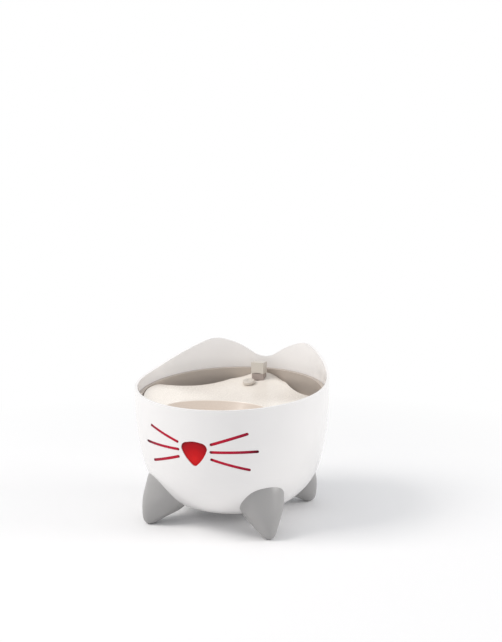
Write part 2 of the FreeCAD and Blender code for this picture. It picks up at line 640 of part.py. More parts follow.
PIN_SIDES = ("-pin_x", "pin_x")
springs = [rod("spring%d" % index, x, "pin_y", board_z + " + board_wall", "dock_radius",
               "tank_floor - dock_gap - %s - board_wall" % board_z) for index, x in enumerate(PIN_SIDES)]
node(together("dock_contacts", *springs), "dock_contacts")

inlet_body = fuse("inlet_body",
                  rod("inlet_barrel", "0", "inlet_back + 1", "inlet_height", "inlet_radius",
                      "inlet_end - inlet_back - 1", "Y"),
                  block("inlet_block", "-inlet_half", "inlet_back", "inlet_height - inlet_half", "2 * inlet_half",
                        "inlet_face - inlet_back", "2 * inlet_half"))
inlet_socket = rod("inlet_socket", "0", "inlet_end - inlet_depth", "inlet_height", "inlet_bore",
                   "inlet_depth + 1", "Y")
node(cut("power_inlet", inlet_body, inlet_socket), "power_inlet")


# A lead or hose: straight runs in the middle plane, joined by arcs as large as the runs allow
def middle_path(points, share=0.45):
    places = [Vector(0, y, z) for y, z in points]
    edges = []
    start = places[0]
    radii = []
    for before, corner, after in zip(places, places[1:], places[2:]):
        into = (corner - before).normalize()
        out = (after - corner).normalize()
        turn = into.getAngle(out)
        trim = share * min((corner - before).Length, (after - corner).Length)
        radii.append(trim / math.tan(turn / 2))
        arc_start = corner - into * trim
        arc_end = corner + out * trim
        bisector = (out - into).normalize()
        centre = corner + bisector * (trim / math.sin(turn / 2))
        middle = centre - bisector * radii[-1]
        edges.append(Part.makeLine(start, arc_start))
        edges.append(Part.Arc(arc_start, middle, arc_end).toShape())
        start = arc_end
    edges.append(Part.makeLine(start, places[-1]))
    print("bend radii", [round(radius, 1) for radius in radii])
    return Part.Wire(edges)


def round_bar(path, radius):
    edge = path.Edges[0]
    direction = edge.tangentAt(edge.FirstParameter)
    ring = Part.Wire(Part.makeCircle(radius, edge.valueAt(edge.FirstParameter), direction))
    return path.makePipeShell([ring], True, False)


def lead(label, points):
    body = doc.addObject("Part::Feature", label)
    body.Shape = round_bar(middle_path(points), number("lead_radius"))
    return node(body, label)


lead_floor = number(board_z) + number("board_wall") / 2
lead("inlet_lead", [
    (number("inlet_back") + 2.6, number("inlet_height - inlet_half - 2 * seat_gap")),
    (number("inlet_back") + 0.2, 50.0),
    (number("rim_radius - 35"), 40.5),
    (number("rim_radius - 49.5"), 29.5),
    (60.0, lead_floor + 2.0),
    (number("board_back + seat_gap"), lead_floor),
])
lead("led_lead", [
    (-number("board_front + seat_gap"), lead_floor),
    (-48.0, lead_floor + 0.4),
    (-number("rim_radius - 57.5"), 25.0),
    (-number("rim_radius - 41.5"), 35.5),
    (-number("rim_radius - 29.5"), 50.0),
    (-number("rim_radius - 22.5"), 67.0),
    (-number("rim_radius - 18.5"), 84.0),
    (-number("led_board_face - board_wall / 2") + 0.6, number("led_board_low - 2 * seat_gap")),
])

# Tank: an inner bowl with a ledge, an upright collar and a lip that follows the rim
LEAN_X = "(tank_flat + (tank_corner - (%s)) * cos(tank_draft * 1deg))"
LEAN_Z = "(tank_floor + tank_corner - (tank_corner - (%s)) * sin(tank_draft * 1deg))"
LIP_RADIUS = "(rim_radius - shell_wall - tank_gap)"
COLLAR = "(%s - collar_wall)" % LIP_RADIUS
LIP = "(rim_height - lip_drop)"


def tank_section(inset, shelf):
    step = "(%s - ledge_width - (%s))" % (COLLAR, inset)
    return [
        ("0", "tank_floor + (%s)" % inset),
        ("tank_flat", "tank_floor + (%s)" % inset),
        (LEAN_X % inset, LEAN_Z % inset, "tank_corner - (%s)" % inset, 1),
        (step, shelf),
        ("%s - (%s)" % (COLLAR, inset), shelf),
        ("%s - (%s)" % (COLLAR, inset), "rim_height + 20"),
        ("0", "rim_height + 20"),
    ]


tank_outside = revolve("tank_outside", tank_section("0", "ledge_height - tank_wall"))
tank_inside = revolve("tank_inside", tank_section("tank_wall", "ledge_height"))
lip_disc = rod("lip_disc", "0", "0", "ledge_height", LIP_RADIUS, "60")
below_lip = prism("below_lip", "YZ", [
    ("-%s" % SLAB, "0"),
    (SLAB, "0"),
    (SLAB, "%s - lip_wall + rim_slope * %s" % (LIP, SLAB)),
    ("-%s" % SLAB, "%s - lip_wall - rim_slope * %s" % (LIP, SLAB)),
], "-%s" % SLAB, SLAB)
lip_ring = cut("lip_ring", lip_disc, below_lip)
pins = []
seals = []
pin_holes = []
for index, x in enumerate(PIN_SIDES):
    pins.append(rod("pin%d" % index, x, "pin_y", "tank_floor", "pin_radius", "pump_low - tank_floor"))
    pin_holes.append(rod("pin_hole%d" % index, x, "pin_y", "tank_floor - 1", "pin_radius", "tank_wall + 2"))
    ring = rod("seal_ring%d" % index, x, "pin_y", "tank_floor + tank_wall", "pin_radius + seal_wall", "seal_height")
    seals.append(cut("seal%d" % index, ring, pins[-1]))
tank_blank = cut("tank_blank", fuse("tank_solid", tank_outside, lip_ring), tank_inside,
                 above_plane("lip_space", LIP))
node(cut("water_tank", tank_blank, *pin_holes), "water_tank")
node(together("contact_pins", *pins), "contact_pins")
node(together("contact_seals", *seals), "contact_seals")

# Pump: motor body, cover with intake and outlet, rotor and impeller on a fixed ceramic shaft
FLOOR = "(tank_floor + tank_wall)"
AXLE = "((pump_low + pump_high) / 2)"
body_box = block("body_box", "-pump_half", "pump_split", "pump_low", "2 * pump_half", "pump_back - pump_split",
                 "pump_high - pump_low")
chamber = rod("chamber", "0", "pump_split - 1", AXLE, "rotor_chamber", "rotor_depth + 1", "Y")
shaft_front = "(pump_front + 0.2)"
shaft_back = "(pump_split + rotor_depth + shaft_seat)"
shaft = rod("pump_shaft", "0", shaft_front, AXLE, "shaft_radius", "%s - %s" % (shaft_back, shaft_front), "Y")
node(shaft, "pump_shaft")
node(cut("pump_body", body_box, chamber, shaft), "pump_body")

outlet_y = "((pump_front + volute_wall + pump_split) / 2)"
nozzle_radius = "(hose_radius - hose_wall - running_gap)"
cover_box = block("cover_box", "-pump_half", "pump_front", "pump_low", "2 * pump_half", "pump_split - pump_front",
                  "pump_high - pump_low")
nozzle = rod("nozzle", "0", outlet_y, "pump_high - 1", nozzle_radius, "nozzle_height + 1")
intake_tube = rod("intake_tube", "0", "case_back - case_wall + 0.5", AXLE, "intake_radius + intake_wall",
                  "pump_front - case_back + case_wall", "Y")
volute = rod("volute", "0", "pump_front + volute_wall", AXLE, "volute_radius",
             "pump_split - pump_front - volute_wall + 1", "Y")
intake = rod("intake", "0", "case_back - case_wall - 1", AXLE, "intake_radius",
             "pump_front + volute_wall - case_back + case_wall + 2", "Y")
water_way = rod("water_way", "0", outlet_y, AXLE, "water_bore", "pump_high + nozzle_height")
spider = block("spider", "-(intake_radius + 1)", "pump_front", "%s - spider_width / 2" % AXLE,
               "2 * (intake_radius + 1)", "volute_wall", "spider_width")
spider_hub = rod("spider_hub", "0", "pump_front", AXLE, "bush_radius", "volute_wall", "Y")
cover_shell = cut("cover_shell", fuse("cover_solid", cover_box, nozzle, intake_tube), volute, intake, water_way)
node(cut("pump_cover", fuse("cover_full", cover_shell, spider, spider_hub), shaft), "pump_cover")

bore = rod("rotor_bore", "0", "pump_front", AXLE, "shaft_radius + running_gap", "60", "Y")
rotor_front = "(pump_split + 1)"
rotor = rod("rotor_rod", "0", rotor_front, AXLE, "rotor_radius", "rotor_length", "Y")
node(cut("rotor_magnet", rotor, bore), "rotor_magnet")
impeller_front = "(pump_split - vane_gap - impeller_width)"
hub = rod("impeller_hub", "0", impeller_front, AXLE, "impeller_hub", "%s - %s" % (rotor_front, impeller_front), "Y")
VANES = 6
vane_list = []
for turn in range(VANES // 2):
    vane = doc.addObject("Part::Box", "vane%d" % turn)
    angle = 360.0 / VANES * turn
    away = Rotation(Vector(0, 1, 0), angle)
    vane.Placement = Placement(Vector(), away)
    tie(vane, {"Length": "2 * impeller_radius", "Width": "impeller_width", "Height": "vane_wall"})
    shift = away.multVec(Vector(1, 0, 0))
    lift = away.multVec(Vector(0, 0, 1))
    tie(vane, {
        "Placement.Base.x": "-(%r) * impeller_radius - (%r) * vane_wall / 2" % (shift.x, lift.x),
        "Placement.Base.y": impeller_front,
        "Placement.Base.z": "%s - (%r) * impeller_radius - (%r) * vane_wall / 2" % (AXLE, shift.z, lift.z),
    })
    vane_list.append(vane)
node(cut("impeller", fuse("impeller_blank", hub, *vane_list), bore), "impeller")
bush_front = "(pump_front + volute_wall + 0.1)"
bush_back = "(%s + rotor_length + 0.2)" % rotor_front
bushes = [cut("bush_front", rod("bush_front_rod", "0", bush_front, AXLE, "bush_radius", "bush_width", "Y"), shaft),
          cut("bush_back", rod("bush_back_rod", "0", bush_back, AXLE, "bush_radius", "bush_width", "Y"), shaft)]
node(together("shaft_bushes", *bushes), "shaft_bushes")

cups = []
for side in (-1, 1):
    for row in ("cup_front", "cup_back"):
        cup = doc.addObject("Part::Cone", "cup_%s_%d" % (row, side + 1))
        tie(cup, {"Radius1": "cup_radius", "Radius2": "cup_neck", "Height": "pump_low - %s" % FLOOR})
        tie(cup, {"Placement.Base.x": "%d * cup_x" % side, "Placement.Base.y": row, "Placement.Base.z": FLOOR})
        cups.append(cup)
node(together("suction_cups", *cups), "suction_cups")

hose_low = number("pump_high")
outlet = number(outlet_y)
hose_path = middle_path([
    (outlet, hose_low),
    (outlet, hose_low + number("hose_rise")),
    (number("spout_centre - stem_shift"), number("hose_bend")),
    (number("spout_centre - stem_shift"), number("hose_top")),
], 0.48)
hose = doc.addObject("Part::Feature", "riser_hose")
hose_outside = round_bar(hose_path, number("hose_radius"))
hose.Shape = hose_outside.cut(round_bar(hose_path, number("hose_radius - hose_wall")))
node(hose, "riser_hose")

# Filter: an open case before the pump, and a cartridge frame that lifts out with carbon and foam
case_outer = block("case_outer", "-case_half", "-case_front", FLOOR, "2 * case_half", "case_front + case_back",
                   "case_high - %s" % FLOOR)
case_inner = block("case_inner", "-(case_half - case_wall)", "-(case_front - case_wall)",
                   "%s + case_wall" % FLOOR, "2 * (case_half - case_wall)",
                   "case_front + case_back - 2 * case_wall", "case_high")
case_mouth = rod("case_mouth", "0", "case_back - case_wall - 1", AXLE, "intake_radius + intake_wall + fit_gap",
                 "case_wall + 2", "Y")
SLOTS = 6
case_slots = [block("case_slot%d" % place, "(%r) * slot_pitch - slot_width / 2" % (place - (SLOTS - 1) / 2),
                    "-(case_front + 1)", "%s + 7" % FLOOR, "slot_width", "case_wall + 2", "slot_height")
              for place in range(SLOTS)]
node(cut("filter_case", case_outer, case_inner, case_mouth, *case_slots), "filter_case")

INNER_HALF = "(case_half - case_wall - slide_gap)"
INNER_FRONT = "(case_front - case_wall - slide_gap)"
frame_low = "(%s + case_wall)" % FLOOR
frame_depth = "(pouch_depth + foam_depth + 2 * frame_wall)"
frame_outer = block("frame_outer", "-%s" % INNER_HALF, "-%s" % INNER_FRONT, frame_low, "2 * %s" % INNER_HALF,
                    frame_depth, "case_high - %s" % frame_low)
frame_inner = block("frame_inner", "-(%s - frame_wall)" % INNER_HALF, "-(%s + 1)" % INNER_FRONT,
                    "%s + frame_wall" % frame_low, "2 * (%s - frame_wall)" % INNER_HALF,
                    "%s + 2" % frame_depth, "case_high - %s - 2 * frame_wall" % frame_low)
tab = block("tab", "-tab_width / 2", "-%s + %s / 2 - tab_wall / 2" % (INNER_FRONT, frame_depth), "case_high",
            "tab_width", "tab_wall", "tab_height")
node(fuse("cartridge_frame", cut("frame_ring", frame_outer, frame_inner), tab), "cartridge_frame")
fill_low = "(%s + frame_wall)" % frame_low
fill_height = "(case_high - frame_wall - %s)" % fill_low
fill_half = "(%s - frame_wall)" % INNER_HALF
node(block("carbon_pouch", "-%s" % fill_half, "-%s + frame_wall" % INNER_FRONT, fill_low, "2 * %s" % fill_half,
           "pouch_depth", fill_height), "carbon_pouch")
node(block("foam_pad", "-%s" % fill_half, "-%s + frame_wall + pouch_depth" % INNER_FRONT, fill_low,
           "2 * %s" % fill_half, "foam_depth", fill_height), "foam_pad")


# Drinking top: one flowing plate with a pool in front and a hump that carries the spout
def top_height(x, y, edge):
    pool_back = number("pool_width / 2 - pool_offset")
    height = number("pool_edge")
    if y > pool_back:
        height += number("hump_rise") * ((y - pool_back) / (edge - pool_back)) ** number("hump_power")
    if y > 0:
        rise = math.cos(math.pi / 2 * min(y / number("side_turn"), 1.9))
    else:
        rise = math.cos(math.pi / 2 * min(-y / edge, 1.0)) ** 2
    reach = math.sqrt(max(edge ** 2 - min(abs(y), edge * 0.97) ** 2, 1.0))
    across = min(abs(x) / reach, 1.15) ** 2.2
    ratio = math.hypot(x / number("pool_length / 2"), (y + number("pool_offset")) / number("pool_width / 2"))
    away = 1.0 - math.exp(-(max(ratio - 1.0, 0.0) / 0.35) ** 2)
    return height + number("side_rise") * rise * across * away


def ellipse_wire(length, width, y, z):
    curve = Part.Ellipse(Vector(0, y, z), length / 2, width / 2)
    return Part.Wire(curve.toShape())


top_radius = number("%s - tank_wall - top_gap" % COLLAR)
GRID = 25
spread = top_radius + 4.0
steps = [spread * (2.0 * place / (GRID - 1) - 1.0) for place in range(GRID)]
surface = Part.BSplineSurface()
surface.interpolate([[Vector(x, y, top_height(x, y, top_radius)) for y in steps] for x in steps])
skin = surface.toShape()


def under_skin(depth):
    lower = skin.copy()
    lower.translate(Vector(0, 0, -depth))
    return lower.extrude(Vector(0, 0, depth))


plate_slab = under_skin(number("top_wall"))
deep_slab = under_skin(60)

ledge = number("ledge_height")
high = number("rim_height")
disc = Part.makeCylinder(top_radius, high - ledge, Vector(0, 0, ledge))
for side in (-1, 1):
    angle = math.radians(number("gap_angle"))
    distance = top_radius - number("gap_depth") + number("gap_arc")
    centre = Vector(side * distance * math.sin(angle), distance * math.cos(angle), ledge - 1)
    disc = disc.cut(Part.makeCylinder(number("gap_arc"), high - ledge + 2, centre))
skirt_outer = top_radius - number("skirt_inset")
skirt = disc.common(Part.makeCylinder(skirt_outer, high - ledge, Vector(0, 0, ledge)))
skirt = skirt.cut(Part.makeCylinder(skirt_outer - number("skirt_wall"), high, Vector(0, 0, ledge - 1)))
skirt = skirt.common(deep_slab)
plate_solid = plate_slab.common(disc).fuse(skirt)

pool_y = -number("pool_offset")
pool_long = number("pool_length")
pool_wide = number("pool_width")
pool_wall = number("pool_wall")
draft = number("pool_draft")
edge_z = number("pool_edge")
bottom_z = edge_z - number("pool_depth")
pool_outside = Part.makeLoft([
    ellipse_wire(pool_long + 2 * pool_wall, pool_wide + 2 * pool_wall, pool_y, edge_z - 1.0),
    ellipse_wire(pool_long - 2 * draft + 2 * pool_wall, pool_wide - 2 * draft + 2 * pool_wall, pool_y,
                 bottom_z - pool_wall),
], True, True)
over = 6.0
widen = 2 * over * draft / number("pool_depth")
pool_inside = Part.makeLoft([
    ellipse_wire(pool_long + widen, pool_wide + widen, pool_y, edge_z + over),
    ellipse_wire(pool_long - 2 * draft, pool_wide - 2 * draft, pool_y, bottom_z),
], True, True)

post_y = number("spout_centre")
wall = number("socket_wall")
gap = number("fit_gap")
post_w = number("post_width")
post_d = number("post_depth")
post_low = number("post_foot")
socket = Part.makeBox(post_w + 2 * wall, post_d + 2 * wall, 40,
                      Vector(-post_w / 2 - wall, post_y - post_d / 2 - wall, post_low - wall)).common(deep_slab)
socket_hole = Part.makeBox(post_w + 2 * gap, post_d + 2 * gap, 40,
                           Vector(-post_w / 2 - gap, post_y - post_d / 2 - gap, post_low))
stem_hole = Part.makeCylinder(number("stem_radius") + gap, 20,
                              Vector(0, post_y - number("stem_shift"), post_low - wall - 5))

knob_x = -number("knob_x")
knob_y = number("knob_y")
knob_turn = Rotation(Vector(1, 0, 0), number("knob_lean"))
knob_axis = knob_turn.multVec(Vector(0, 0, 1))
knob_seat = Vector(knob_x, knob_y, top_height(knob_x, knob_y, top_radius))
stem_radius = number("knob_stem")
guide_length = number("knob_stem_length") - number("clip_wall") - 2.0
guide = Part.makeCylinder(stem_radius + wall, guide_length, knob_seat - knob_axis * guide_length,
                          knob_axis).common(deep_slab)
guide_hole = Part.makeCylinder(stem_radius + number("running_gap"), 60, knob_seat - knob_axis * 40, knob_axis)

top = doc.addObject("Part::Feature", "drinking_top")
top_blank = plate_solid.fuse([pool_outside, socket, guide])
for tool in (pool_inside, socket_hole, stem_hole, guide_hole):
    top_blank = top_blank.cut(tool)
top.Shape = top_blank
node(top, "drinking_top")

# Flow knob: a dished button on a stem, held under the plate by a spring clip
knob_radius = number("knob_radius")
knob_height = number("knob_height")
head_low = knob_seat + knob_axis * number("knob_lift")
knob_head = Part.makeCylinder(knob_radius, knob_height, head_low, knob_axis)
head_top = head_low + knob_axis * knob_height
knob_head = knob_head.makeFillet(1.3, [edge for edge in knob_head.Edges
                                       if edge.Curve.TypeId == "Part::GeomCircle"])
dimple = Part.makeSphere(number("knob_dimple") * 1.8, head_top + knob_axis * number("knob_dimple") * 1.45)
knob_stem = Part.makeCylinder(stem_radius, number("knob_stem_length") + number("knob_lift") + 1.0,
                              knob_seat - knob_axis * number("knob_stem_length"), knob_axis)
groove_low = knob_seat - knob_axis * (number("knob_stem_length") - 1.5)
clip_wall = number("clip_wall")
groove = Part.makeCylinder(stem_radius + 1, clip_wall + 0.2, groove_low - knob_axis * 0.1, knob_axis).cut(
    Part.makeCylinder(stem_radius - 0.7, clip_wall + 0.2, groove_low - knob_axis * 0.1, knob_axis))
knob = doc.addObject("Part::Feature", "flow_knob")
knob.Shape = knob_head.fuse(knob_stem).cut([dimple, groove])
node(knob, "flow_knob")
clip = doc.addObject("Part::Feature", "knob_clip")
clip.Shape = Part.makeCylinder(number("clip_radius"), clip_wall, groove_low, knob_axis).cut(
    Part.makeCylinder(stem_radius - 0.7 + number("running_gap"), clip_wall, groove_low, knob_axis))
node(clip, "knob_clip")

# Spout: a square post with a stem that slips over the hose, and a lift-off cap
post_box = block("post_box", "-post_width / 2", "spout_centre - post_depth / 2", "post_foot", "post_width",
                 "post_depth", "post_top - post_foot")
post_spigot = block("post_spigot", "-spigot_width / 2", "spout_centre - spigot_depth / 2", "post_top - 1",
                    "spigot_width", "spigot_depth", "spigot_height + 1")
post_stem = rod("post_stem", "0", "spout_centre - stem_shift", "stem_low", "stem_radius", "post_foot - stem_low + 1")
post_socket = rod("post_socket", "0", "spout_centre - stem_shift", "stem_low - 1", "hose_radius + fit_gap",
                  "hose_top - stem_low + 1.5")
post_bore = rod("post_bore", "0", "spout_centre - stem_shift", "stem_low", "water_bore", "80")
node(cut("spout_post", fuse("post_blank", post_box, post_spigot, post_stem), post_socket, post_bore), "spout_post")
cap_box = block("cap_box", "-cap_width / 2", "spout_centre - cap_depth / 2", "post_top", "cap_width", "cap_depth",
                "cap_height")
cap_seat = block("cap_seat", "-(spigot_width / 2 + fit_gap)", "spout_centre - spigot_depth / 2 - fit_gap",
                 "post_top - 1", "spigot_width + 2 * fit_gap", "spigot_depth + 2 * fit_gap",
                 "cap_height - cap_wall + 1")
cap_slot = block("cap_slot", "-outlet_width / 2", "spout_centre - cap_depth", "post_top - 1",
                 "outlet_width", "cap_depth - spigot_depth / 2", "outlet_height + 1")
cap_channel = block("cap_channel", "-outlet_width / 2", "spout_centre - spigot_depth / 2 - outlet_depth", "post_top - 1",
                    "outlet_width", "outlet_depth + 1", "spigot_height + outlet_depth + 1")
node(cut("spout_cap", cap_box, cap_seat, cap_slot, cap_channel), "spout_cap")

doc.recompute()
for thing in doc.Objects:
    if "Invalid" in thing.State or "Error" in thing.State:
        raise RuntimeError("failed object: %s %s" % (thing.Name, thing.State))
os.makedirs("parts", exist_ok=True)
for label, thing in nodes.items():
    shape = thing.Shape
    if shape.isNull() or not shape.isValid() or not shape.Solids:
        raise RuntimeError("bad shape: " + label)
    solids = shape.Solids
    piece = solids[0] if len(solids) == 1 else Part.makeCompound(solids)
    piece.exportStep("parts/%s.step" % label)
    print("%-18s %2d solids %10.1f mm3" % (label, len(solids), piece.Volume))
print(len(nodes), "nodes")
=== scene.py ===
import math

import bpy
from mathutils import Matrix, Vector


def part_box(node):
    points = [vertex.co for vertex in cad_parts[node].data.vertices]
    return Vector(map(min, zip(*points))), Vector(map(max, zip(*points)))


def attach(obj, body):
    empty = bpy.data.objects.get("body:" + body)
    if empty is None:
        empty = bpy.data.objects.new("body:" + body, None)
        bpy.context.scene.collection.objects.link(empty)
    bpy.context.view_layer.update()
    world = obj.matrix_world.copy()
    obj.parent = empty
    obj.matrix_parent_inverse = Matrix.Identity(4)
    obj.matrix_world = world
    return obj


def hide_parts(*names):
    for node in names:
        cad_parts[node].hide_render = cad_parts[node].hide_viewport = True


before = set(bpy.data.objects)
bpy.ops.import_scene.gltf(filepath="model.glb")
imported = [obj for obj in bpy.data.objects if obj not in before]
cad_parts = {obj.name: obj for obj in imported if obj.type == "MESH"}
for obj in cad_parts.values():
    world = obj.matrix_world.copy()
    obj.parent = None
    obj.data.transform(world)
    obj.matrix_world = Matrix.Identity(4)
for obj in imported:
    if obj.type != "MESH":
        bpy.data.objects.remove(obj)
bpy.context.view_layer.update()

# Outer shell: the bowl, its upright back wall and the two ears, one moulding in glossy warm white plastic.
# A slow ripple in tone and a very fine grain keep the gloss from looking like glass.
# Above the level of the rim the tint is paler: painted light on the ears, standing in for the bounce and top
# light that brighten them.
SHELL_WHITE = (0.87, 0.855, 0.845)
EAR_PAINTED_LIGHT_WHITE = (0.95, 0.935, 0.925)
EAR_FADE_LOW = 0.168
EAR_FADE_HIGH = 0.186


def grain_nodes():
    group = bpy.data.node_groups.new("moulding_grain", "ShaderNodeTree")
    for name, way, form in (
        ("Vector", "INPUT", "NodeSocketVector"),
        ("Tint", "INPUT", "NodeSocketColor"),
        ("Dullness", "INPUT", "NodeSocketFloat"),
        ("Grain Scale", "INPUT", "NodeSocketFloat"),
        ("Color", "OUTPUT", "NodeSocketColor"),
        ("Roughness", "OUTPUT", "NodeSocketFloat"),
        ("Height", "OUTPUT", "NodeSocketFloat"),
    ):
        group.interface.new_socket(name, in_out=way, socket_type=form)
    entry = group.nodes.new("NodeGroupInput")
    leave = group.nodes.new("NodeGroupOutput")
    ripple = group.nodes.new("ShaderNodeTexNoise")
    ripple.inputs["Scale"].default_value = 14.0
    ripple.inputs["Detail"].default_value = 2.0
    group.links.new(entry.outputs["Vector"], ripple.inputs["Vector"])
    shade = group.nodes.new("ShaderNodeMapRange")
    shade.inputs["From Min"].default_value = 0.3
    shade.inputs["From Max"].default_value = 0.7
    shade.inputs["To Min"].default_value = 0.975
    shade.inputs["To Max"].default_value = 1.0
    group.links.new(ripple.outputs[0], shade.inputs["Value"])
    tone = group.nodes.new("ShaderNodeHueSaturation")
    group.links.new(shade.outputs[0], tone.inputs["Value"])
    group.links.new(entry.outputs["Tint"], tone.inputs["Color"])
    group.links.new(tone.outputs[0], leave.inputs["Color"])
    grain = group.nodes.new("ShaderNodeTexNoise")
    grain.inputs["Detail"].default_value = 3.0
    group.links.new(entry.outputs["Vector"], grain.inputs["Vector"])
    group.links.new(entry.outputs["Grain Scale"], grain.inputs["Scale"])
    group.links.new(grain.outputs[0], leave.inputs["Height"])
    dull = group.nodes.new("ShaderNodeMath")
    dull.operation = "MULTIPLY_ADD"
    dull.inputs[1].default_value = 0.06
    group.links.new(grain.outputs[0], dull.inputs[0])
    group.links.new(entry.outputs["Dullness"], dull.inputs[2])
    group.links.new(dull.outputs[0], leave.inputs["Roughness"])
    return group


grain_group = grain_nodes()


def moulded(name, tint, dullness, grain_scale, grain_depth, coat=0.0, metal=0.0, shine=0.5):
    material = bpy.data.materials.new(name)
    material.use_nodes = True
    tree = material.node_tree
    surface = tree.nodes["Principled BSDF"]
    place = tree.nodes.new("ShaderNodeTexCoord")
    grain = tree.nodes.new("ShaderNodeGroup")
    grain.name = "grain"
    grain.node_tree = grain_group
    grain.inputs["Tint"].default_value = (*tint, 1.0)
    grain.inputs["Dullness"].default_value = dullness
    grain.inputs["Grain Scale"].default_value = grain_scale
    bump = tree.nodes.new("ShaderNodeBump")
    bump.inputs["Strength"].default_value = 0.4
    bump.inputs["Distance"].default_value = grain_depth
    surface.inputs["Coat Weight"].default_value = coat
    surface.inputs["Coat Roughness"].default_value = 0.06
    surface.inputs["Metallic"].default_value = metal
    surface.inputs["Specular IOR Level"].default_value = shine
    tree.links.new(place.outputs["Object"], grain.inputs["Vector"])
    tree.links.new(grain.outputs["Color"], surface.inputs["Base Color"])
    tree.links.new(grain.outputs["Roughness"], surface.inputs["Roughness"])
    tree.links.new(grain.outputs["Height"], bump.inputs["Height"])
    tree.links.new(bump.outputs["Normal"], surface.inputs["Normal"])
    return material


def dress(material, *names):
    for name in names:
        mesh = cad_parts[name].data
        mesh.materials.clear()
        mesh.materials.append(material)


def band(material, axis, low, high, mirrored=False):
    tree = material.node_tree
    place = tree.nodes.new("ShaderNodeTexCoord")
    split = tree.nodes.new("ShaderNodeSeparateXYZ")
    share = tree.nodes.new("ShaderNodeMapRange")
    share.inputs["From Min"].default_value = low
    share.inputs["From Max"].default_value = high
    tree.links.new(place.outputs["Object"], split.inputs[0])
    source = split.outputs[axis]
    if mirrored:
        size = tree.nodes.new("ShaderNodeMath")
        size.operation = "ABSOLUTE"
        tree.links.new(source, size.inputs[0])
        source = size.outputs[0]
    tree.links.new(source, share.inputs["Value"])
    return share.outputs[0]


# Every use of this ramp paints light or shade into a surface: it drives the tint and the emission colour,
# glowing at the given strength.
def painted_light_ramp(material, source, stops, painted_glow=0.0):
    tree = material.node_tree
    ramp = tree.nodes.new("ShaderNodeValToRGB")
    ramp.color_ramp.interpolation = "EASE"
    ends = ramp.color_ramp.elements
    ends[0].position, ends[0].color = stops[0][0], (*stops[0][1], 1.0)
    ends[1].position, ends[1].color = stops[-1][0], (*stops[-1][1], 1.0)
    for position, colour in stops[1:-1]:
        ends.new(position).color = (*colour, 1.0)
    tree.links.new(source, ramp.inputs[0])
    tree.links.new(ramp.outputs["Color"], tree.nodes["grain"].inputs["Tint"])
    surface = tree.nodes["Principled BSDF"]
    tree.links.new(ramp.outputs["Color"], surface.inputs["Emission Color"])
    surface.inputs["Emission Strength"].default_value = painted_glow


shell_material = moulded("shell_white", SHELL_WHITE, 0.16, 900.0, 0.00002, coat=0.35)
# Painted light: the shell's tint turns paler above the rim, on the ears.
ear_painted_light_share = band(shell_material, "Z", EAR_FADE_LOW, EAR_FADE_HIGH)
painted_light_ramp(shell_material, ear_painted_light_share, [(0.0, SHELL_WHITE), (1.0, EAR_PAINTED_LIGHT_WHITE)])
dress(shell_material, "outer_shell")

# Four feet: satin grey mouldings like upside-down ears, each held by a screw from inside the bowl.
# Their grain is coarser than the shell's, so that they look duller beside it.
dress(moulded("foot_grey", (0.36, 0.353, 0.348), 0.32, 700.0, 0.00005, coat=0.10),
      "foot_front_right", "foot_rear_right", "foot_rear_left", "foot_front_left")

# Screws and the knob's spring clip: plated steel, turned bright.
# All of them sit inside the closed fountain.
dress(moulded("steel", (0.60, 0.60, 0.61), 0.24, 1500.0, 0.00002, metal=1.0),
      "foot_screws", "board_screws", "led_screws", "knob_clip")

# Whisker carrier: dark red translucent plastic behind the shell, with six bars in the whisker slots.
# The bars carry a faint painted glow and darken to near black at their ends: painted shade where the slots'
# ends are recessed.
WHISKER_INNER_END = 0.019
WHISKER_OUTER_END = 0.073
whisker_material = moulded("whisker_red", (0.42, 0.010, 0.030), 0.35, 600.0, 0.00002, shine=0.1)
# Painted shade at the bar ends and a painted glow along them, set by the distance from the middle.
whisker_painted_shade_share = band(whisker_material, "X", WHISKER_INNER_END, WHISKER_OUTER_END, mirrored=True)
painted_light_ramp(whisker_material, whisker_painted_shade_share, [
    (0.0, (0.12, 0.006, 0.012)), (0.10, (0.50, 0.012, 0.035)), (0.45, (0.46, 0.012, 0.040)),
    (0.72, (0.34, 0.010, 0.035)), (1.0, (0.10, 0.006, 0.014))], 0.12)
dress(whisker_material, "whisker_insert")

# Nose lens: clear red plastic, pressed against the carrier from behind and lit by three lamps.
# Its glow is painted light in its colour and emission, standing in for the lamps behind it: brightest low in
# the middle, with painted shade towards its recessed edge.
PAINTED_GLOW_CENTRE = (0.0, -0.121, 0.1005)
PAINTED_GLOW_REACH = 0.024
lens_material = moulded("nose_red", (0.60, 0.010, 0.014), 0.12, 500.0, 0.00001, shine=0.12)
tree = lens_material.node_tree
place = tree.nodes.new("ShaderNodeTexCoord")
reach = tree.nodes.new("ShaderNodeVectorMath")
reach.operation = "DISTANCE"
reach.inputs[1].default_value = PAINTED_GLOW_CENTRE
painted_glow_spread = tree.nodes.new("ShaderNodeMapRange")
painted_glow_spread.inputs["From Max"].default_value = PAINTED_GLOW_REACH
tree.links.new(place.outputs["Object"], reach.inputs[0])
tree.links.new(reach.outputs["Value"], painted_glow_spread.inputs["Value"])
# Painted glow and edge shade, by distance from a point low in the lens's middle.
painted_light_ramp(lens_material, painted_glow_spread.outputs[0], [
    (0.0, (0.66, 0.014, 0.014)), (0.35, (0.52, 0.007, 0.010)), (0.70, (0.40, 0.005, 0.010)),
    (1.0, (0.22, 0.003, 0.008))], 0.10)
dress(lens_material, "nose_lens")

